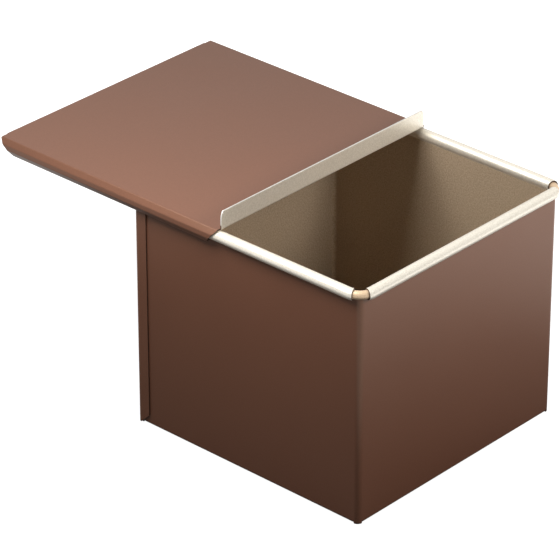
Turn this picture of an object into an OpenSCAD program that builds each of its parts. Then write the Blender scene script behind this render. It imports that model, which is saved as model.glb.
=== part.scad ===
// Small square loaf pan with a sliding lid. The body is a strip of coated sheet bent round four
// corners and lapped at one of them, its top edge rolled outwards over a frame of wire and its
// bottom edge turned in under a base plate. The lid is one sheet whose long sides are rolled into
// channels that run along the rolled rim.
// The origin is the middle of the base's underside. The lid opens towards -X, and +Z is up.

/* [Body] */
// Length over the faces of the end walls, along the lid's travel
body_l = 100; // [70:1:300]
// Width over the faces of the side walls
body_w = 100; // [70:1:200]
// Height from the table to the top of the rolled rim
body_h = 88; // [40:0.5:150]
// Thickness of the body's sheet
sheet = 0.5; // [0.4:0.05:0.7]
// Outer radius of the three plain upright corners
corner_r = 2; // [1.6:0.1:4]
// Outer radius of the bend along the bottom edge
bottom_r = 1; // [0.8:0.1:1.5]
// Notch that keeps the bend along the bottom edge clear of the upright corners
relief = 0.3; // [0.1:0.1:1]

/* [Lap seam] */
// Outer radius of the fold at the lapped corner
fold_r = 1.3; // [1:0.1:2]
// Width of the tab on the side wall, from the end wall's face
tab_w = 5.2; // [4:0.1:10]
// Hairline between the two layers of the lap
lap_gap = 0.08; // [0.05:0.01:0.2]
// Angle of the sloping cut at the tab's foot
tab_cut_angle = 45; // [30:5:60]

/* [Rolled rim] */
// Diameter of the wire inside the rim
wire_d = 2.9; // [2:0.1:4]
// Clearance between the wire and the sheet rolled over it
wire_gap = 0.05; // [0.03:0.01:0.1]
// How far the wire's centre stands outside the wall's face
wire_out = 0.75; // [0.4:0.05:1.1]
// Radius of the neck between wall and roll, at the middle of the sheet
neck_r = 1.5; // [1:0.1:3]
// Slit between the roll's free edge and the wall
roll_slit = 0.15; // [0.08:0.01:0.4]
// Radius of the wire's corners, at the middle of the wire
rim_corner_r = 5.2; // [4:0.1:12]
// How far the roll follows each of the wire's corners before it stops and leaves the wire bare
roll_turn = 20; // [5:1:30]
// Space between the wire's two ends, hidden in the roll at the back
wire_butt = 0.4; // [0.2:0.1:2]
// Gap between the bare wire and the top of the upright corner below it
corner_gap = 0.15; // [0.1:0.05:0.4]

/* [Base plate] */
// Width of the flange turned in under the base plate
flange_w = 6.5; // [4:0.5:10]
// Gap between neighbouring flanges at their mitred corners
mitre_gap = 0.3; // [0.1:0.1:1]
// Clearance round the base plate and inside the flanges
base_gap = 0.1; // [0.05:0.05:0.3]

/* [Lid] */
// Thickness of the lid's sheet
lid_sheet = 0.5; // [0.4:0.05:0.7]
// Running clearance between the lid and the rolled rim
lid_gap = 0.3; // [0.2:0.05:0.5]
// Clearance between the channel's lower edge and the wall
tuck_gap = 0.3; // [0.25:0.05:0.4]
// Height of the turned-up pull lip above the lid's top
lip_h = 6.5; // [4:0.5:15]
// Height and width of the cuts at the lip's top corners
lip_cut = [3.5, 1.2]; // [0.5:0.1:5]
// Depth of the turned-down stop flange below the lid's top
stop_h = 6; // [4:0.5:10]
// Clearance between the stop flange and the rim when the lid is shut
stop_gap = 0.3; // [0.25:0.05:0.5]
// How far the shut lid reaches over the rim of the end wall at its pull lip
lid_overlap = 0.4; // [0.2:0.1:2]
// Outer radius of the bends at the lip and the stop flange
end_r = 0.9; // [0.8:0.1:2]
// Length of the sloping cut at the channels' ends beside the lip
near_cut = 4.5; // [1:0.5:8]
// Length of the sloping cut at the channels' ends beside the stop flange
far_cut = 6.5; // [2:0.5:12]
// How far the lid stands open
lid_open = 59; // [0:0.5:100]

/* [Hidden] */
$fn = 64;
// Overlap that joins neighbouring stretches of one sheet
joint = 0.5;
// How far a cutting shape reaches past what it cuts
past = 1;

wire_r = wire_d / 2;
roll_in = wire_r + wire_gap;
roll_r = roll_in + sheet;
wire_z = body_h - roll_r;
// The neck's arc touches the wall below it and the roll above it
neck_dx = wire_out + sheet / 2 + neck_r;
neck_dz = sqrt(pow(roll_in + sheet / 2 + neck_r, 2) - pow(neck_dx, 2));
neck_angle = atan2(neck_dz, neck_dx);
// Degrees by which the roll starts inside the neck, which joins the two
neck_lap = 4;
wall_top = wire_z - neck_dz;
corner_top = wire_z - wire_r - corner_gap;
roll_start_angle = neck_angle + neck_lap - 180;
roll_end_angle = -acos((roll_slit - wire_out) / roll_r);
// Where the wire's straight stretches end, from the wall's corner
rim_turn = rim_corner_r - wire_out;

lap_step = sheet + lap_gap;
coat_brown = [0.42, 0.28, 0.21];
coat_gold = [0.72, 0.66, 0.52];
wire_copper = [0.80, 0.62, 0.43];

chan_in = roll_r + lid_gap;
chan_out = chan_in + lid_sheet;
lid_top = wire_z + chan_out;
half_track = body_w / 2 + wire_out;
lid_shut_far = -(body_l / 2 + wire_out + roll_r + stop_gap + lid_sheet);
lid_shut_near = body_l / 2 + wire_out - roll_r + lid_overlap;
lid_far = lid_shut_far - lid_open;
lid_near = lid_shut_near - lid_open;
tab_top = wire_z - chan_out - tuck_gap;

// The four walls: turn about Z, distance of the face from the middle, length along the wall
SIDES = [
    [0, body_l / 2, body_w],
    [90, body_w / 2, body_l],
    [180, body_l / 2, body_w],
    [270, body_w / 2, body_l]
];

// Rectangle with true round corners
module round_rect(l, w, r) {
    square([l - 2 * r, w], center = true);
    square([l, w - 2 * r], center = true);
    for (x = [-1, 1], y = [-1, 1])
        translate([x * (l / 2 - r), y * (w / 2 - r)]) circle(r);
}

// Wedge from angle a0 to angle a1, less than half a turn, that reaches past radius r
module wedge(r, a0, a1) {
    reach = (r + past) / cos((a1 - a0) / 2);
    polygon([[0, 0], reach * [cos(a0), sin(a0)], reach * [cos(a1), sin(a1)]]);
}

// Sector of a ring, from angle a0 to angle a1
module ring_sector(r_in, r_out, a0, a1) {
    intersection() {
        difference() {
            circle(r_out);
            circle(r_in);
        }
        wedge(r_out, a0, a1);
    }
}

// Extrudes a profile (outwards, up) along one wall
module along(side, len) {
    rotate([0, 0, side[0]])
        translate([side[1], 0, 0])
            rotate([90, 0, 0])
                linear_extrude(height = len, center = true) children();
}

// Neck: the sheet leaves the top of the wall and bends in, under the roll
module neck_profile() {
    translate([-sheet, wall_top - joint]) square([sheet, joint]);
    translate([wire_out - neck_dx, wall_top])
        ring_sector(neck_r - sheet / 2, neck_r + sheet / 2, 0, neck_angle);
}

// Roll: the sheet goes over the wire, down its outer side and back towards the wall
module roll_profile() {
    translate([wire_out, wire_z]) difference() {
        circle(roll_r);
        circle(roll_in);
        wedge(roll_r, roll_start_angle, roll_end_angle);
    }
}

// Places its children at the centres of the rim's four corners
module rim_corners() {
    for (x = [0, 1], y = [0, 1])
        mirror([x, 0, 0]) mirror([0, y, 0])
            translate([body_l / 2 - rim_turn, body_w / 2 - rim_turn, 0]) children();
}

// Rolled rim of one wall: straight along the wall, with both ends following the wire's corners
module rolled_rim(side) {
    straight = side[2] - 2 * rim_turn;
    along(side, straight) {
        neck_profile();
        roll_profile();
    }
    rotate([0, 0, side[0]])
        for (end = [0, 1]) mirror([0, end, 0])
            translate([side[1] - rim_turn, straight / 2, 0])
                rotate_extrude(angle = roll_turn) translate([rim_turn, 0]) roll_profile();
}

// Bend along the bottom edge
module bottom_profile() {
    translate([-bottom_r, bottom_r]) ring_sector(bottom_r - sheet, bottom_r, 270, 360);
}

// Flange turned in under the base, mitred at both ends, in plan (outwards, along the wall)
module flange_plan(len) {
    full = len / 2 - corner_r - relief;
    square_end = corner_r + relief - mitre_gap;
    polygon([
        [-bottom_r, -full],
        [-square_end, -full],
        [-flange_w, -(len / 2 - flange_w - mitre_gap)],
        [-flange_w, len / 2 - flange_w - mitre_gap],
        [-square_end, full],
        [-bottom_r, full]
    ]);
}

// Plan of the upright sheet, without the lapped corner
module wall_plan() {
    difference() {
        round_rect(body_l, body_w, corner_r);
        round_rect(body_l - 2 * sheet, body_w - 2 * sheet, corner_r - sheet);
        translate([-body_l / 2 - past, -body_w / 2 - past])
            square(corner_r + past);
    }
    // the end wall runs on to the fold, and the side wall runs on inside it
    translate([-body_l / 2, -body_w / 2 - lap_step + fold_r])
        square([sheet, corner_r + lap_step - fold_r]);
    translate([-body_l / 2 + lap_step + wire_gap, -body_w / 2])
        square([corner_r - lap_step - wire_gap, sheet]);
}

// Plan of the sheet in the four upright corners, each reaching into the walls beside it by extra
module corner_plan(extra) {
    difference() {
        wall_plan();
        square([body_l - 2 * (corner_r + extra), body_w + 2 * past], center = true);
        square([body_l + 2 * past, body_w - 2 * (corner_r + extra)], center = true);
    }
}

// Plan of the fold and its tab, outside the side wall
module tab_plan() {
    translate([-body_l / 2 + fold_r, -body_w / 2 - lap_step + fold_r])
        ring_sector(fold_r - sheet, fold_r, 180, 270);
    translate([-body_l / 2 + fold_r, -body_w / 2 - lap_step])
        square([tab_w - fold_r, sheet]);
}

module seam_tab() {
    cut_l = tab_w - fold_r + past;
    difference() {
        linear_extrude(height = tab_top) tab_plan();
        // the tab's foot slopes down to the corner
        translate([-body_l / 2 + fold_r, -body_w / 2, 0]) rotate([90, 0, 0])
            linear_extrude(height = 2 * (lap_step + past), center = true)
                polygon([[0, -past], [0, 0], [cut_l, cut_l * tan(tab_cut_angle)], [cut_l, -past]]);
    }
}

// Walls in one strip: rolled at the top, turned in at the bottom, lapped at one corner
module wall_band() {
    color(coat_brown) {
        translate([0, 0, bottom_r])
            linear_extrude(height = wall_top - bottom_r) wall_plan();
        // the corners go straight down to the table, and up to just below the bare wire
        linear_extrude(height = bottom_r + joint) corner_plan(0);
        translate([0, 0, wall_top - joint])
            linear_extrude(height = corner_top - wall_top + joint) corner_plan(relief);
        for (side = SIDES) {
            along(side, side[2] - 2 * (corner_r + relief)) bottom_profile();
            rolled_rim(side);
            rotate([0, 0, side[0]]) translate([side[1], 0, 0])
                linear_extrude(height = sheet) flange_plan(side[2]);
        }
        seam_tab();
    }
}

// Base plate: its border lies on the flanges, and its middle is pressed down flush with them
module base_plate() {
    rim_l = body_l - 2 * (bottom_r + base_gap);
    rim_w = body_w - 2 * (bottom_r + base_gap);
    panel_l = body_l - 2 * (flange_w + base_gap);
    panel_w = body_w - 2 * (flange_w + base_gap);
    r = corner_r - sheet;
    color(coat_gold) {
        linear_extrude(height = sheet) round_rect(panel_l, panel_w, r);
        translate([0, 0, sheet]) linear_extrude(height = sheet) difference() {
            round_rect(rim_l, rim_w, r);
            round_rect(panel_l - 2 * sheet, panel_w - 2 * sheet, r - sheet);
        }
    }
}

// One closed frame of round wire, its ends meeting inside the roll at the back
module rim_wire() {
    straight_l = body_l - 2 * rim_turn;
    straight_w = body_w - 2 * rim_turn;
    color(wire_copper) translate([0, 0, wire_z]) {
        for (x = [-1, 1])
            translate([x * (body_l / 2 + wire_out), 0, 0]) rotate([90, 0, 0])
                cylinder(r = wire_r, h = straight_w, center = true);
        translate([0, -half_track, 0]) rotate([0, 90, 0])
            cylinder(r = wire_r, h = straight_l, center = true);
        for (x = [-1, 1])
            translate([x * (straight_l + wire_butt) / 4, half_track, 0]) rotate([0, 90, 0])
                cylinder(r = wire_r, h = (straight_l - wire_butt) / 2, center = true);
        rim_corners()
            rotate_extrude(angle = 90) translate([rim_corner_r, 0]) circle(wire_r);
    }
}

// Cross-section of the lid: flat top with a channel rolled along each long side
module lid_profile() {
    translate([-half_track, lid_top - lid_sheet]) square([2 * half_track, lid_sheet]);
    for (y = [0, 1]) mirror([y, 0]) {
        translate([half_track, wire_z]) {
            ring_sector(chan_in, chan_out, 0, 90);
            ring_sector(chan_in, chan_out, 270, 360);
        }
        // lower edge, tucked in towards the wall
        translate([body_w / 2 + tuck_gap, wire_z - chan_out])
            square([wire_out - tuck_gap, lid_sheet]);
    }
}

// Bend and flange at an end of the lid, in (along the lid, up), bent up from the top's underside
module end_profile(height) {
    translate([-end_r, end_r]) ring_sector(end_r - lid_sheet, end_r, 270, 360);
    translate([-lid_sheet, end_r]) square([lid_sheet, height - end_r]);
}

// Outline of the pull lip seen from its end: cut back at its top corners
module lip_outline() {
    top = lip_h + lid_sheet;
    polygon([
        [-half_track, 0],
        [half_track, 0],
        [half_track, top - lip_cut[0]],
        [half_track - lip_cut[1], top],
        [-half_track + lip_cut[1], top],
        [-half_track, top - lip_cut[0]]
    ]);
}

// Stretch of an end bend across the lid
module lid_end(height, width) {
    rotate([90, 0, 0])
        linear_extrude(height = width, center = true) end_profile(height);
}

// Sloping cut at a channel's end (along the lid, up), length long at the channel's lower edge
module channel_cut(length) {
    top = lid_top - lid_sheet;
    low = wire_z - chan_out;
    polygon([[-past, top], [0, top], [length, low], [length, low - past], [-past, low - past]]);
}

// Lid with its channels, the pull lip at the near end and the stop flange at the far end
module sliding_lid() {
    near = lid_near - end_r;
    far = lid_far + end_r;
    color(coat_brown) {
        difference() {
            translate([far, 0, 0]) rotate([90, 0, 90])
                linear_extrude(height = near - far) lid_profile();
            // the cuts leave the flat top whole
            rotate([90, 0, 0])
                linear_extrude(height = 2 * (half_track + chan_out + past), center = true) {
                    translate([near, 0]) mirror([1, 0]) channel_cut(near_cut);
                    translate([far, 0]) channel_cut(far_cut);
                }
        }
        // pull lip, bent up
        intersection() {
            translate([lid_near, 0, lid_top - lid_sheet])
                lid_end(lip_h + lid_sheet, 2 * half_track);
            translate([near - past, 0, lid_top - lid_sheet]) rotate([90, 0, 90])
                linear_extrude(height = end_r + 2 * past) lip_outline();
        }
        // stop flange, bent down
        translate([lid_far, 0, lid_top]) rotate([180, 0, 180])
            lid_end(stop_h, 2 * (half_track - roll_r));
    }
}

wall_band();
base_plate();
rim_wire();
sliding_lid();
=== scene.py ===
from math import acos, atan2, cos, hypot, pi, radians, sin, sqrt, tan

import bmesh
import bpy
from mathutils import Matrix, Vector


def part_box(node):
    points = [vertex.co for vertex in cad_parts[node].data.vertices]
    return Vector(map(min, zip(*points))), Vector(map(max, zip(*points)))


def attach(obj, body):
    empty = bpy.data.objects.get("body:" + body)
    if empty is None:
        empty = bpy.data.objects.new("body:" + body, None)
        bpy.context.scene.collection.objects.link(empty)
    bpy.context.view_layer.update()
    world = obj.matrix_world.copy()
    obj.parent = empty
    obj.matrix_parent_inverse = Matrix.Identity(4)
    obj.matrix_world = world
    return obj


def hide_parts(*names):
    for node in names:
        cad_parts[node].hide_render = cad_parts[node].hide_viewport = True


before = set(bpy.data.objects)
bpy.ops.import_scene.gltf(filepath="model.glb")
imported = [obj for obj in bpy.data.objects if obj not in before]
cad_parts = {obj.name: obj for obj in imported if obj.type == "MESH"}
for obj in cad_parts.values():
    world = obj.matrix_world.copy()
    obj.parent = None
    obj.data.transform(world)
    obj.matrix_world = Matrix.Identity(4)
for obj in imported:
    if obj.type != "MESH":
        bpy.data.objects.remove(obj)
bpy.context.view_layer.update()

# Camera: a long lens above the pan, at the corner between the side wall with the lap seam and
# the end wall that the lid slides towards as it shuts.
azimuth, elevation = radians(42.4), radians(28.95)
camera_distance = 1.25
pixels_per_metre = 2960
picture_px = 560
aim_across, aim_height = -0.0224, 0.0530
view_dir = Vector((sin(azimuth) * cos(elevation), -cos(azimuth) * cos(elevation), sin(elevation)))
aim = Vector((aim_across * cos(azimuth), aim_across * sin(azimuth), aim_height))
camera_data = bpy.data.cameras.new("camera")
camera_data.sensor_width = 36
camera_data.lens = pixels_per_metre * camera_distance / picture_px * camera_data.sensor_width
camera_data.clip_start, camera_data.clip_end = 0.05, 20
camera = bpy.data.objects.new("camera", camera_data)
camera.location = aim + view_dir * camera_distance
camera.rotation_euler = view_dir.to_track_quat("Z", "Y").to_euler()
bpy.context.scene.collection.objects.link(camera)
bpy.context.scene.camera = camera
bpy.context.scene.view_settings.view_transform = "Standard"

# Coated sheet: steel with a satin chocolate-brown coat on the outside and a finely speckled
# champagne-gold coat on the side that meets the bread. On the rolled rim and all over the lid
# the gold is painted paler: partly rubbed bright by handling, partly a painted highlight for the
# light that the rim and lip catch. The cut edges are bare steel, tarnished brown.
mm = 0.001
rim_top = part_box("wall_band")[1].z
wear_and_painted_light_depth = 4.0 * mm
wear_and_painted_light_fade = 0.5 * mm
grain_height = 0.02 * mm
cloud_cover = 0.35


def add(tree, kind, **settings):
    """Adds a shader node; settings with a capital are its sockets, the others its own."""
    made = tree.nodes.new("ShaderNode" + kind)
    for name, value in settings.items():
        if name[0].isupper():
            made.inputs[name.replace("_", " ")].default_value = value
        else:
            setattr(made, name, value)
    return made


def blend(tree, share, low, high):
    """Mixes two colours by a share, each a socket or a plain value; returns the colour."""
    mix = add(tree, "Mix", data_type="RGBA")
    for socket, value in (("Factor_Float", share), ("A_Color", low), ("B_Color", high)):
        target = next(s for s in mix.inputs if s.identifier == socket)
        if isinstance(value, bpy.types.NodeSocket):
            tree.links.new(value, target)
        else:
            target.default_value = value
    return next(s for s in mix.outputs if s.identifier == "Result_Color")


def spread(tree, value, low, high, out_low, out_high):
    """Stretches a value from one range to another, kept within the second; returns the value."""
    stretch = add(
        tree, "MapRange", From_Min=low, From_Max=high, To_Min=out_low, To_Max=out_high)
    tree.links.new(value, stretch.inputs["Value"])
    return stretch.outputs["Result"]


# One speckle serves every coat: fine grains, wide soft clouds, and a height for the grain.
speckle = bpy.data.node_groups.new("coat_speckle", "ShaderNodeTree")
speckle.interface.new_socket("Vector", in_out="INPUT", socket_type="NodeSocketVector")
speckle.interface.new_socket("Grains per metre", in_out="INPUT", socket_type="NodeSocketFloat")
for output in ("Grain", "Cloud", "Height"):
    speckle.interface.new_socket(output, in_out="OUTPUT", socket_type="NodeSocketFloat")
group_in = speckle.nodes.new("NodeGroupInput")
group_out = speckle.nodes.new("NodeGroupOutput")
grains = add(speckle, "TexNoise", Detail=2.0, Roughness=0.6)
clouds = add(speckle, "TexNoise", Scale=45.0, Detail=3.0, Roughness=0.55)
swell = add(speckle, "TexNoise", Scale=420.0, Detail=1.0)
for texture in (grains, clouds, swell):
    speckle.links.new(group_in.outputs["Vector"], texture.inputs["Vector"])
speckle.links.new(group_in.outputs["Grains per metre"], grains.inputs["Scale"])
grain_value = spread(speckle, grains.outputs["Fac"], 0.25, 0.75, 0.0, 1.0)
cloud_value = spread(speckle, clouds.outputs["Fac"], 0.20, 0.80, 0.0, 1.0)
height_sum = add(speckle, "Math", operation="ADD")
speckle.links.new(grain_value, height_sum.inputs[0])
speckle.links.new(swell.outputs["Fac"], height_sum.inputs[1])
speckle.links.new(grain_value, group_out.inputs["Grain"])
speckle.links.new(cloud_value, group_out.inputs["Cloud"])
speckle.links.new(height_sum.outputs["Value"], group_out.inputs["Height"])


def coat(name, grain_low, grain_high, cloud_tone, grains_per_metre, roughness, bump,
         wear_and_painted_light_above=None, wear_and_painted_light_grains=None, wear_and_painted_light_metal=0.0, **constants):
    """Material of a speckled coat: two grain colours, a cloud tone, a roughness range and a bump.

    Above a height the coat is painted paler, to two other grain colours: partly wear, partly
    painted highlight.
    """
    material = bpy.data.materials.new(name)
    material.use_nodes = True
    tree = material.node_tree
    shader = tree.nodes["Principled BSDF"]
    place = add(tree, "TexCoord")
    pattern = tree.nodes.new("ShaderNodeGroup")
    pattern.node_tree = speckle
    pattern.inputs["Grains per metre"].default_value = grains_per_metre
    tree.links.new(place.outputs["Object"], pattern.inputs["Vector"])
    grained = blend(tree, pattern.outputs["Grain"], grain_low, grain_high)
    cloud_share = spread(tree, pattern.outputs["Cloud"], 0.0, 1.0, 0.0, cloud_cover)
    colour = blend(tree, cloud_share, grained, cloud_tone)
    # Above the height the coat is painted paler and more metallic: partly wear, partly painted
    # highlight.
    if wear_and_painted_light_above:
        height = add(tree, "SeparateXYZ")
        tree.links.new(place.outputs["Object"], height.inputs["Vector"])
        wear_and_painted_light_share = spread(
            tree, height.outputs["Z"], wear_and_painted_light_above, wear_and_painted_light_above + wear_and_painted_light_fade, 0.0, 1.0)
        colour = blend(tree, wear_and_painted_light_share, colour, blend(tree, pattern.outputs["Grain"], *wear_and_painted_light_grains))
        metal = spread(tree, wear_and_painted_light_share, 0.0, 1.0, constants.pop("Metallic"), wear_and_painted_light_metal)
        tree.links.new(metal, shader.inputs["Metallic"])
    tree.links.new(colour, shader.inputs["Base Color"])
    rough = spread(tree, pattern.outputs["Cloud"], 0.0, 1.0, roughness[0], roughness[1])
    tree.links.new(rough, shader.inputs["Roughness"])
    grain_bump = add(tree, "Bump", Strength=bump, Distance=grain_height)
    tree.links.new(pattern.outputs["Height"], grain_bump.inputs["Height"])
    tree.links.new(grain_bump.outputs["Normal"], shader.inputs["Normal"])
    for socket, value in constants.items():
        shader.inputs[socket.replace("_", " ")].default_value = value
    return material


outer_coat = coat(
    "outer_brown_coat",
    grain_low=(0.134, 0.054, 0.031, 1), grain_high=(0.166, 0.069, 0.040, 1),
    cloud_tone=(0.154, 0.064, 0.037, 1), grains_per_metre=2200,
    roughness=(0.27, 0.33), bump=0.2, Metallic=0.05, Specular_Tint=(1.0, 0.86, 0.68, 1))
# Its rim and the lid are painted paler: partly wear, partly painted highlight.
inner_coat = coat(
    "inner_gold_coat",
    grain_low=(0.285, 0.207, 0.128, 1), grain_high=(0.575, 0.450, 0.325, 1),
    cloud_tone=(0.435, 0.325, 0.210, 1), grains_per_metre=1900,
    roughness=(0.30, 0.38), bump=0.5, Metallic=0.2, wear_and_painted_light_above=rim_top - wear_and_painted_light_depth,
    wear_and_painted_light_grains=((0.71, 0.65, 0.54, 1), (0.90, 0.84, 0.73, 1)), wear_and_painted_light_metal=0.5)
tarnished = dict(
    grain_low=(0.050, 0.028, 0.018, 1), grain_high=(0.095, 0.056, 0.038, 1),
    cloud_tone=(0.070, 0.041, 0.028, 1), grains_per_metre=4000,
    roughness=(0.34, 0.46), bump=0.6, Metallic=0.3)
cut_edge = coat("tarnished_cut_edge", **tarnished)

# Wall band: one strip of coated sheet, bent round four corners and lapped at one of them. Its
# top edge is rolled outwards over the rim wire, and its bottom edge is turned in under the base.
band_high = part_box("wall_band")[1]
sheet = 0.5 * mm
edge_round = 0.07 * mm
roll_r = 2.0 * mm
wire_r = 1.45 * mm
wire_out = 0.75 * mm
corner_r, bottom_r = 2.0 * mm, 1.0 * mm
fold_r, tab_w, lap_step = 1.3 * mm, 5.2 * mm, 0.58 * mm
neck_r = 1.5 * mm
rim_turn = 4.45 * mm
roll_turn = radians(20)
roll_slit = 0.15 * mm
flange_w, mitre_gap, relief = 6.5 * mm, 0.3 * mm, 0.3 * mm
tab_gap = 3.1 * mm
hair = 0.004 * mm  # the slack in finding points by their place
touch = hair / 4  # points closer than this are one
half_l = band_high.x - wire_out - roll_r
half_w = band_high.y - wire_out - roll_r
mid_l, mid_w = half_l - sheet / 2, half_w - sheet / 2
wire_z = band_high.z - roll_r
roll_mid = roll_r - sheet / 2
neck_in = wire_out + sheet / 2 + neck_r
neck_up = sqrt((roll_mid + neck_r) ** 2 - neck_in ** 2)
neck_angle = atan2(neck_up, neck_in)
wall_top = wire_z - neck_up
corner_gap = 0.15 * mm
corner_top = wire_z - wire_r - corner_gap
tab_top = wire_z - tab_gap
roll_sweep = pi + neck_angle + acos((roll_slit - wire_out) / roll_r)
roll_slack = 5 * hair
up = Vector((0, 0, 1))


def choose(kind, test):
    """In edit mode, selects only the vertices, edges or faces whose points all pass test."""
    bpy.ops.mesh.select_mode(type=kind)
    bpy.ops.mesh.select_all(action="DESELECT")
    mesh = bmesh.from_edit_mesh(bpy.context.object.data)
    if kind == "VERT":
        found = [v for v in mesh.verts if test(v.co)]
    else:
        parts = mesh.edges if kind == "EDGE" else mesh.faces
        found = [p for p in parts if all(test(v.co) for v in p.verts)]
    for part in found:
        part.select_set(True)
    mesh.select_flush_mode()
    bmesh.update_edit_mesh(bpy.context.object.data)


def draw_out(offset):
    """Extrudes what is selected by offset."""
    bpy.ops.mesh.extrude_region_move(TRANSFORM_OT_translate={"value": offset})


def swing(center, axis, turn, steps):
    """Spins what is selected about axis through center, with turn counted right-handed."""
    bpy.ops.mesh.spin(steps=steps, angle=-turn, center=center, axis=axis)


def cut(point, normal, drop=False):
    """Bisects what is selected, and with drop deletes what lies on the normal's side."""
    bpy.ops.mesh.bisect(
        plane_co=point, plane_no=Vector(normal).normalized(), threshold=touch, clear_outer=drop)


def start_piece(name, middle, size_x, size_y):
    """Adds a flat rectangle of a new piece and opens it for editing, all selected."""
    bpy.ops.object.select_all(action="DESELECT")
    bpy.ops.mesh.primitive_plane_add(size=1, location=middle)
    piece = bpy.context.object
    piece.name = name
    piece.scale = (size_x, size_y, 1)
    bpy.ops.object.transform_apply(location=True, rotation=True, scale=True)
    bpy.ops.object.mode_set(mode="EDIT")
    bpy.ops.mesh.select_all(action="SELECT")
    return piece


def finish_sheet(piece, core, edge_coat=cut_edge):
    """Turns the coat's outer side away from core, then gives the sheet its thickness and edges."""
    bpy.ops.mesh.select_all(action="SELECT")
    bpy.ops.mesh.remove_doubles(threshold=touch)
    bpy.ops.mesh.normals_make_consistent(inside=False)
    largest = max(bmesh.from_edit_mesh(piece.data).faces, key=lambda face: face.calc_area())
    if largest.normal.dot(largest.calc_center_median() - Vector(core)) < 0:
        bpy.ops.mesh.flip_normals()
    bpy.ops.object.mode_set(mode="OBJECT")
    for material in (outer_coat, inner_coat, edge_coat):
        piece.data.materials.append(material)
    thicken = piece.modifiers.new("thickness", "SOLIDIFY")
    thicken.thickness, thicken.offset, thicken.use_even_offset = sheet, 0, True
    thicken.material_offset, thicken.material_offset_rim = 1, 2
    round_edges = piece.modifiers.new("round_edges", "BEVEL")
    round_edges.width, round_edges.segments = edge_round, 2
    round_edges.limit_method, round_edges.angle_limit = "ANGLE", radians(55)
    for modifier in ("thickness", "round_edges"):
        bpy.ops.object.modifier_apply(modifier=modifier)
    bpy.ops.object.shade_smooth_by_angle(angle=radians(32))
    piece.modifiers.new("flat_normals", "WEIGHTED_NORMAL").keep_sharp = True
    bpy.ops.object.modifier_apply(modifier="flat_normals")


# The strip's plan: a rectangle with round corners, opened at the lapped corner, where the end
# wall runs on into the fold and its tab, and the side wall ends inside them.
wall_band = start_piece("coated_wall_band", (0, 0, bottom_r), 2 * mid_l, 2 * mid_w)
bpy.ops.mesh.bevel(offset=corner_r - sheet / 2, affect="VERTICES", segments=8)
bpy.ops.mesh.delete(type="ONLY_FACE")
lap_x, lap_y = -half_l + corner_r, -half_w + corner_r
choose("VERT", lambda p: p.x < lap_x - hair and p.y < lap_y - hair)
bpy.ops.mesh.delete(type="VERT")
fold_x, fold_y = -half_l + fold_r, -half_w - lap_step + fold_r
choose("VERT", lambda p: p.x < -mid_l + hair and abs(p.y - lap_y) < hair)
draw_out((0, fold_y - lap_y, 0))
swing((fold_x, fold_y, bottom_r), up, pi / 2, steps=7)
draw_out((tab_w - fold_r, 0, 0))
choose("VERT", lambda p: p.y < -mid_w + hair and abs(p.x - lap_x) < hair)
draw_out((-half_l + lap_step - lap_x, 0, 0))

# The strip stands up to the tab's top, and all of it but the tab goes on to the neck.
bpy.ops.mesh.select_all(action="SELECT")
draw_out(up * (tab_top - bottom_r))
choose("EDGE", lambda p: abs(p.z - tab_top) < hair
       and (p.x > 0 or p.y > fold_y - hair or abs(p.y + mid_w) < hair))
draw_out(up * (wall_top - tab_top))
for inset in (rim_turn, corner_r + relief):
    for sign in (-1, 1):
        bpy.ops.mesh.select_all(action="SELECT")
        cut((sign * (half_l - inset), 0, 0), (1, 0, 0))
        bpy.ops.mesh.select_all(action="SELECT")
        cut((0, sign * (half_w - inset), 0), (0, 1, 0))
corner_reach = corner_r + relief + hair
choose("EDGE", lambda p: abs(p.z - wall_top) < hair
       and abs(p.x) > half_l - corner_reach and abs(p.y) > half_w - corner_reach)
draw_out(up * (corner_top - wall_top))

# Each wall: the neck, the roll over the wire with both ends bent round the corners, and below
# them the bend along the table and the mitred flange.
for side in range(4):
    out = Vector((round(cos(side * pi / 2)), round(sin(side * pi / 2)), 0))
    along = up.cross(out)
    hinge = out.cross(up)
    face, half = (half_l, half_w) if side % 2 == 0 else (half_w, half_l)
    wall_mid = face - sheet / 2

    def on_wall(p, z, reach):
        """Whether p lies on this wall's sheet at height z, within reach of the wall's middle."""
        on_sheet = abs(p.dot(out) - wall_mid) < hair and abs(p.z - z) < hair
        return on_sheet and abs(p.dot(along)) < reach + hair

    def on_roll(p, end):
        """Whether p lies on the roll's profile at one end of its straight stretch."""
        from_wire = hypot(p.dot(out) - face - wire_out, p.z - wire_z)
        at_end = abs(p.dot(along) * end - half + rim_turn) < hair
        return at_end and abs(from_wire - roll_mid) < roll_slack

    choose("EDGE", lambda p: on_wall(p, wall_top, half - rim_turn))
    swing(out * (face + wire_out - neck_in) + up * wall_top, hinge, neck_angle, steps=6)
    swing(out * (face + wire_out) + up * wire_z, hinge, -roll_sweep, steps=46)
    for end in (-1, 1):
        choose("EDGE", lambda p: on_roll(p, end))
        bend = out * (face - rim_turn) + along * end * (half - rim_turn)
        swing(bend, up, end * roll_turn, steps=5)
    choose("EDGE", lambda p: on_wall(p, bottom_r, half - corner_r - relief))
    swing(out * (face - bottom_r) + up * bottom_r, hinge, -pi / 2, steps=6)
    draw_out(out * (bottom_r + mitre_gap - corner_r - relief))
    draw_out(out * (corner_r + relief - mitre_gap - flange_w))
    narrowing = (half - flange_w - mitre_gap) / (half - corner_r - relief)
    squeeze = (1, narrowing, 1) if side % 2 == 0 else (narrowing, 1, 1)
    bpy.ops.transform.resize(value=squeeze, center_override=(0, 0, 0))

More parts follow.
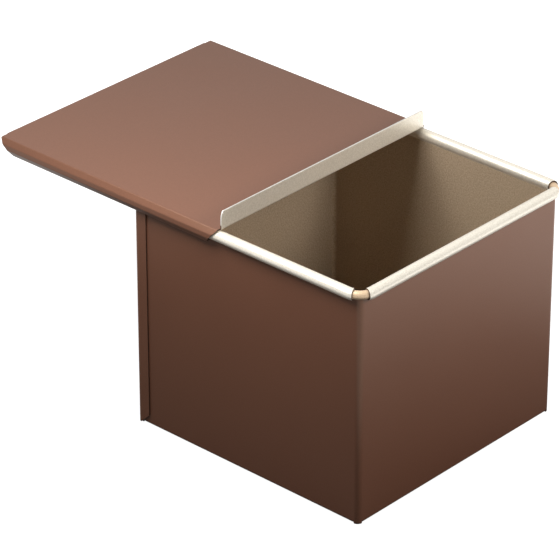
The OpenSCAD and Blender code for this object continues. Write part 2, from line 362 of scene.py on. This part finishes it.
# The corners go straight down to the table, and the tab's foot is cut off at a slope.
choose("EDGE", lambda p: abs(p.z - bottom_r) < hair and (
    p.y < -half_w - hair
    or abs(p.x) > half_l - corner_r - hair and abs(p.y) > half_w - corner_r - hair))
draw_out(up * -bottom_r)
choose("FACE", lambda p: p.y < -half_w - hair and p.x > fold_x - hair and p.z < tab_top + hair)
cut((fold_x, 0, 0), (1, 0, -1), drop=True)
finish_sheet(wall_band, (0, 0, wire_z / 2))
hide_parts("wall_band")
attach(wall_band, "pan")

# Base plate: pressed from the same sheet, gold side up. Its border lies on the flanges, and its
# middle is pressed down flush with them.
plate_gap = 0.1 * mm
dish_slope = 0.8 * sheet
panel_l, panel_w = half_l - flange_w - plate_gap, half_w - flange_w - plate_gap
border = flange_w - bottom_r
base_plate = start_piece("pressed_base_plate", (0, 0, sheet / 2), 2 * panel_l, 2 * panel_w)
bpy.ops.mesh.bevel(offset=corner_r - sheet, affect="VERTICES", segments=6)
bpy.ops.mesh.delete(type="ONLY_FACE")
for rise, step_out in ((sheet, dish_slope), (0, border - dish_slope)):
    draw_out((0, 0, rise))
    widening = (1 + step_out / panel_l, 1 + step_out / panel_w, 1)
    bpy.ops.transform.resize(value=widening, center_override=(0, 0, 0))
choose("EDGE", lambda p: p.z < sheet)
bpy.ops.mesh.edge_face_add()
finish_sheet(base_plate, (0, 0, wire_z))
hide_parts("base_plate")
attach(base_plate, "pan")

# Rim wire: one length of copper-washed steel wire, bent into a frame that the rim is rolled over.
# It shows bare at the four corners, and its ends meet inside the roll at the back.
wire_butt = 0.4 * mm
half_track = half_w + wire_out
run_l, run_w = half_l - rim_turn, half_w - rim_turn
bpy.ops.object.select_all(action="DESELECT")
bpy.ops.mesh.primitive_circle_add(
    vertices=32, radius=wire_r,
    location=(wire_butt / 2, half_track, wire_z), rotation=(0, pi / 2, 0))
rim_wire = bpy.context.object
rim_wire.name = "copper_rim_wire"
bpy.ops.object.transform_apply(location=True, rotation=True, scale=True)
bpy.ops.object.mode_set(mode="EDIT")
bpy.ops.mesh.select_all(action="SELECT")
back_half = (run_l - wire_butt / 2, 0, 0)
draw_out(back_half)
for corner_x, corner_y, reach in (
        (1, 1, (0, -2 * run_w, 0)), (1, -1, (-2 * run_l, 0, 0)),
        (-1, -1, (0, 2 * run_w, 0)), (-1, 1, back_half)):
    swing((corner_x * run_l, corner_y * run_w, wire_z), up, -pi / 2, steps=14)
    draw_out(reach)
for end in (-1, 1):
    choose("EDGE", lambda p: abs(p.x - end * wire_butt / 2) < hair and p.y > 0)
    bpy.ops.mesh.edge_face_add()
bpy.ops.mesh.select_all(action="SELECT")
bpy.ops.mesh.normals_make_consistent(inside=False)
bpy.ops.object.mode_set(mode="OBJECT")
bpy.ops.object.shade_smooth_by_angle(angle=radians(40))
rim_wire.data.materials.append(coat(
    "copper_wash",
    grain_low=(0.60, 0.42, 0.26, 1), grain_high=(0.80, 0.62, 0.42, 1),
    cloud_tone=(0.70, 0.50, 0.32, 1), grains_per_metre=2600,
    roughness=(0.42, 0.54), bump=0.3, Metallic=0.45))
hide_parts("rim_wire")
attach(rim_wire, "pan")

# Lid: one coated sheet, brown side up. Its long sides are folded into channels that run along
# the rim, its near end is turned up as the pull lip and its far end is turned down as a stop.
# The cut edge along the lip is painted bright: partly worn bare, partly a painted highlight
# where the edge catches the light.
lid_low, lid_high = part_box("sliding_lid")
lip_h, stop_h = 6.5 * mm, 6.0 * mm
lip_corner_h, lip_corner_w = 3.5 * mm, 1.2 * mm
end_r = 0.9 * mm
lid_gap, tuck_gap = 0.3 * mm, 0.3 * mm
near_cut, far_cut = 4.5 * mm, 6.5 * mm
lid_top = lid_high.z - lip_h
lid_mid = lid_top - sheet / 2
flat_far, flat_near = lid_low.x + end_r, lid_high.x - end_r
chan_mid = roll_r + lid_gap + sheet / 2
fold_bend = 0.5 * mm
channel_bottom = wire_z - chan_mid - sheet / 2
stop_half = half_track - roll_r
lip_wear_and_highlight_from = 1.2 * mm
# The lip's top edge is painted bright: partly wear, partly painted highlight.
lid_edge = coat(
    "lid_cut_edge", **tarnished, wear_and_painted_light_above=lid_top + lip_wear_and_highlight_from,
    wear_and_painted_light_grains=((0.62, 0.60, 0.56, 1), (0.86, 0.84, 0.80, 1)), wear_and_painted_light_metal=0.85)
lid = start_piece("rolled_lid", ((flat_far + flat_near) / 2, 0, lid_mid),
                  flat_near - flat_far, 2 * half_track)
for sign in (-1, 1):
    bpy.ops.mesh.select_all(action="SELECT")
    cut((0, sign * stop_half, 0), (0, 1, 0))

# Each channel is folded in flat faces round the roll. A face is given by the angle above the
# horizontal that it looks at, and every face keeps the same distance from the wire's centre.
channel_looks = [radians(angle) for angle in (90, 42, 0, -28, -90)]
for sign in (-1, 1):
    choose("EDGE", lambda p: abs(p.y - sign * half_track) < hair and abs(p.z - lid_mid) < hair)
    place = Vector((0, chan_mid))
    for look, next_look in zip(channel_looks, channel_looks[1:]):
        turn, between = look - next_look, (look + next_look) / 2
        corner = chan_mid / cos(turn / 2) * Vector((cos(between), sin(between)))
        trim = fold_bend * tan(turn / 2)
        bend_start = corner - trim * Vector((sin(look), -cos(look)))
        draw_out((0, sign * (bend_start.x - place.x), bend_start.y - place.y))
        hub = bend_start - fold_bend * Vector((cos(look), sin(look)))
        hub_place = (0, sign * (half_track + hub.x), wire_z + hub.y)
        swing(hub_place, (1, 0, 0), -sign * turn, steps=4)
        place = corner + trim * Vector((sin(next_look), -cos(next_look)))
    draw_out((0, sign * (tuck_gap - wire_out - place.x), 0))
slope = lid_top - sheet - channel_bottom
choose("FACE", lambda p: abs(p.y) > half_w)
cut((flat_far, 0, lid_top - sheet), (-slope, 0, -far_cut), drop=True)
choose("FACE", lambda p: abs(p.y) > half_w)
cut((flat_near, 0, lid_top - sheet), (slope, 0, -near_cut), drop=True)

# The stop is turned down between the channels, and the lip is turned up over the whole width,
# with its two top corners rounded.
choose("EDGE", lambda p: abs(p.x - flat_far) < hair
       and abs(p.y) < stop_half + hair and p.z > lid_mid - hair)
swing((flat_far, 0, lid_top - end_r), (0, 1, 0), -pi / 2, steps=8)
draw_out((0, 0, end_r - stop_h))
choose("EDGE", lambda p: abs(p.x - flat_near) < hair
       and abs(p.y) < half_track + hair and p.z > lid_mid - hair)
swing((flat_near, 0, lid_top - sheet + end_r), (0, 1, 0), -pi / 2, steps=8)
draw_out((0, 0, lip_h + sheet - end_r - lip_corner_h))
lip_half = half_track
corner_steps = 5
for step in range(1, corner_steps + 1):
    angle, before = pi / 2 * step / corner_steps, pi / 2 * (step - 1) / corner_steps
    draw_out((0, 0, lip_corner_h * (sin(angle) - sin(before))))
    next_half = half_track - lip_corner_w * (1 - cos(angle))
    bpy.ops.transform.resize(value=(1, next_half / lip_half, 1), center_override=(0, 0, 0))
    lip_half = next_half
finish_sheet(lid, (flat_far, 0, 0), lid_edge)
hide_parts("sliding_lid")
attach(lid, "lid")

# Studio: soft lamps over a plain pale table, in a dim white room. The camera sees the table and
# the room as white. In gloss the room is a little greyer towards the horizon. Close to the pan
# the table is painted dark, a painted shadow of the pan in its colour and in what gloss sees.
room_strength = 0.08
horizon_grey = 0.78
grey_below, white_above = 0.30, 0.70
table_seen_white = 0.95
table_size = 12
table_drop = 0.1 * mm
lamp_aim = Vector((0, 0, 0.05))
white = (1, 1, 1, 1)
world = bpy.data.worlds.new("studio")
bpy.context.scene.world = world
world.use_nodes = True
room = world.node_tree
room.nodes.clear()
room_light = add(room, "Background", Color=white, Strength=room_strength)
room_seen = add(room, "Background", Color=white)
room_ray = add(room, "LightPath")
room_place = add(room, "TexCoord")
room_height = add(room, "SeparateXYZ")
room_level = add(room, "Math", operation="MAXIMUM")
room_share = add(room, "Math", operation="MAXIMUM")
room_mix = add(room, "MixShader")
room.links.new(room_place.outputs["Generated"], room_height.inputs["Vector"])
room_fade = spread(room, room_height.outputs["Z"], grey_below, white_above, horizon_grey, 1.0)
for source, target in (
        (room_fade, room_level.inputs[0]),
        (room_ray.outputs["Is Camera Ray"], room_level.inputs[1]),
        (room_level.outputs["Value"], room_seen.inputs["Strength"]),
        (room_ray.outputs["Is Camera Ray"], room_share.inputs[0]),
        (room_ray.outputs["Is Glossy Ray"], room_share.inputs[1]),
        (room_share.outputs["Value"], room_mix.inputs["Fac"]),
        (room_light.outputs["Background"], room_mix.inputs[1]),
        (room_seen.outputs["Background"], room_mix.inputs[2]),
        (room_mix.outputs["Shader"], add(room, "OutputWorld").inputs["Surface"])):
    room.links.new(source, target)


def soft_box(name, place, size, power, mirrored):
    """Square studio lamp at place, aimed at the pan; mirrored is whether gloss shows the lamp."""
    lamp = bpy.data.lights.new(name, "AREA")
    lamp.shape = "SQUARE"
    lamp.size = size
    lamp.energy = power
    holder = bpy.data.objects.new(name, lamp)
    holder.location = place
    holder.rotation_euler = (Vector(place) - lamp_aim).to_track_quat("Z", "Y").to_euler()
    holder.visible_camera = False
    holder.visible_glossy = mirrored
    bpy.context.scene.collection.objects.link(holder)


soft_box("front_lamp", (-0.03, -0.135, 0.23), size=0.09, power=0.44, mirrored=True)
soft_box("side_lamp", (0.27, 0.06, 0.25), size=0.11, power=0.78, mirrored=False)
soft_box("top_lamp", (-0.14, -0.115, 0.33), size=0.14, power=0.31, mirrored=True)
soft_box("back_lamp", (0.02, 0.42, 0.13), size=0.20, power=0.9, mirrored=False)
soft_box("far_end_lamp", (-0.42, 0, 0.13), size=0.20, power=0.9, mirrored=False)

bpy.ops.object.select_all(action="DESELECT")
bpy.ops.mesh.primitive_plane_add(size=table_size, location=(0, 0, -table_drop))
table = bpy.context.object
table.name = "table_top"
table_paint = bpy.data.materials.new("table_white")
table_paint.use_nodes = True
paint = table_paint.node_tree
table_shader = paint.nodes["Principled BSDF"]
table_shader.inputs["Roughness"].default_value = 0.9
table_spot = add(paint, "TexCoord")


def away_from(middle, inner, outer, **shape):
    """Share that grows from 0 to 1 between two distances from a middle on the table."""
    shift = add(paint, "Mapping", vector_type="TEXTURE", Location=middle, **shape)
    distance = add(paint, "VectorMath", operation="LENGTH")
    paint.links.new(table_spot.outputs["Object"], shift.inputs["Vector"])
    paint.links.new(shift.outputs["Vector"], distance.inputs[0])
    return spread(paint, distance.outputs["Value"], inner, outer, 0.0, 1.0)


# Painted shadow: the table's colour darkens close to the pan, and gloss sees it dark there too.
painted_shadow_fade = away_from((-0.06, -0.10, 0), inner=0.15, outer=0.40)
gloss_painted_shadow_fade = away_from(
    (-0.01, -0.05, 0), inner=0.085, outer=0.13,
    Rotation=(0, 0, radians(45)), Scale=(2.0, 1, 1))
table_colour = blend(paint, painted_shadow_fade, (0.10, 0.10, 0.10, 1), (0.80, 0.80, 0.80, 1))
table_ray = add(paint, "LightPath")
gloss_share = add(paint, "Math", operation="MULTIPLY")
table_level = add(paint, "Math", operation="MAXIMUM")
table_glow = add(paint, "Emission", Color=white)
table_sum = add(paint, "AddShader")
camera_white = spread(
    paint, table_ray.outputs["Is Camera Ray"], 0.0, 1.0, 0.0, table_seen_white)
for source, target in (
        (table_colour, table_shader.inputs["Base Color"]),
        (table_ray.outputs["Is Glossy Ray"], gloss_share.inputs[0]),
        (gloss_painted_shadow_fade, gloss_share.inputs[1]),
        (camera_white, table_level.inputs[0]),
        (gloss_share.outputs["Value"], table_level.inputs[1]),
        (table_level.outputs["Value"], table_glow.inputs["Strength"]),
        (table_shader.outputs["BSDF"], table_sum.inputs[0]),
        (table_glow.outputs["Emission"], table_sum.inputs[1]),
        (table_sum.outputs["Shader"], paint.nodes["Material Output"].inputs["Surface"])):
    paint.links.new(source, target)
table.data.materials.append(table_paint)
